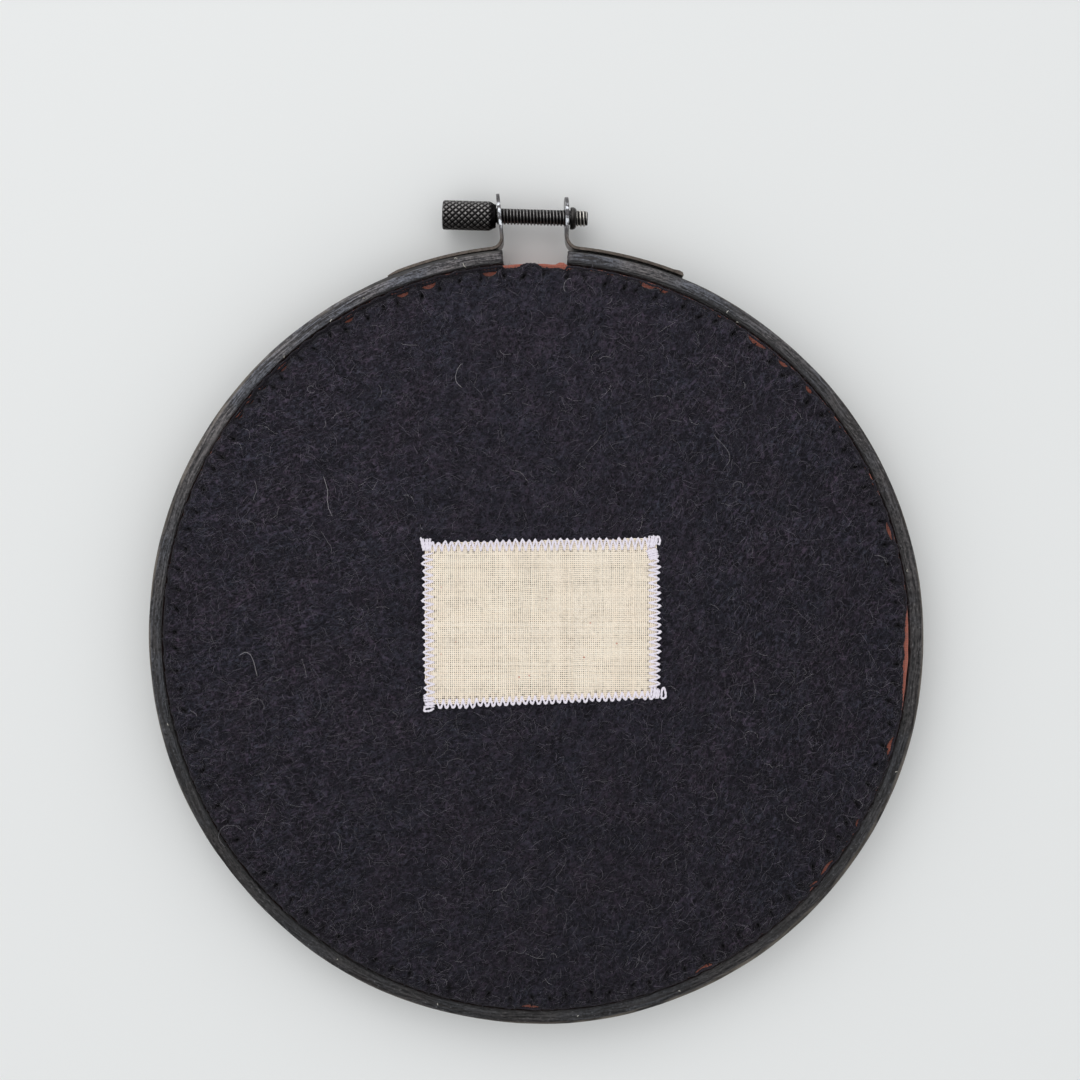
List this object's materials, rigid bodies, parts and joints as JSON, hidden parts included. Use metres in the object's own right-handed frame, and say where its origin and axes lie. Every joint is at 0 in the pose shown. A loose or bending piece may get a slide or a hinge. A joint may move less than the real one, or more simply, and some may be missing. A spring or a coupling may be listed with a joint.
{
  "type": "embroidery hoop with stretched cloth and sewn felt back",
  "caption": "Cloth stretched in a round wooden hoop with a screw clamp, its hem turned in and covered by a sewn felt back with a blank label.",
  "frame": {"origin": "centre of the hoop on the cloth's front face, which is what it lies on", "axes": "+Z out of the felt back, +Y from the hoop's centre to the screw clamp, +X to the right as the back is seen"},
  "size_m": [0.16, 0.172, 0.013],
  "materials": {
    "stained_wood": "black stain over bent wood, satin, grain running round",
    "plain_wood": "black stain, matte, hidden inside the cloth",
    "cotton": "terracotta plain-weave cotton",
    "wool_felt": "black wool felt with loose hairs",
    "label_cotton": "cream plain-weave cotton, white zigzag edge",
    "gunmetal": "dark nickel plate, worn bright on edges",
    "screw_steel": "dark nickel plate, knurled head, worn thread end"
  },
  "bodies": {
    "hoop": {"outer_ring": "stained_wood", "inner_ring": "plain_wood", "front_cloth": "cotton", "felt_backing": "wool_felt", "label": "label_cotton", "clamp_bracket_left": "gunmetal", "clamp_bracket_right": "gunmetal", "clamp_nut": "screw_steel"},
    "thumbscrew": {"thumbscrew": "screw_steel"}
  },
  "joints": [
    {"name": "thumbscrew_turn", "type": "hinge", "parent": "hoop", "child": "thumbscrew", "pos_m": [0, 0.0871, 0.00555], "axis": [-0.9996, 0.0279, 0], "range_deg": [0, 1260]}
  ]
}
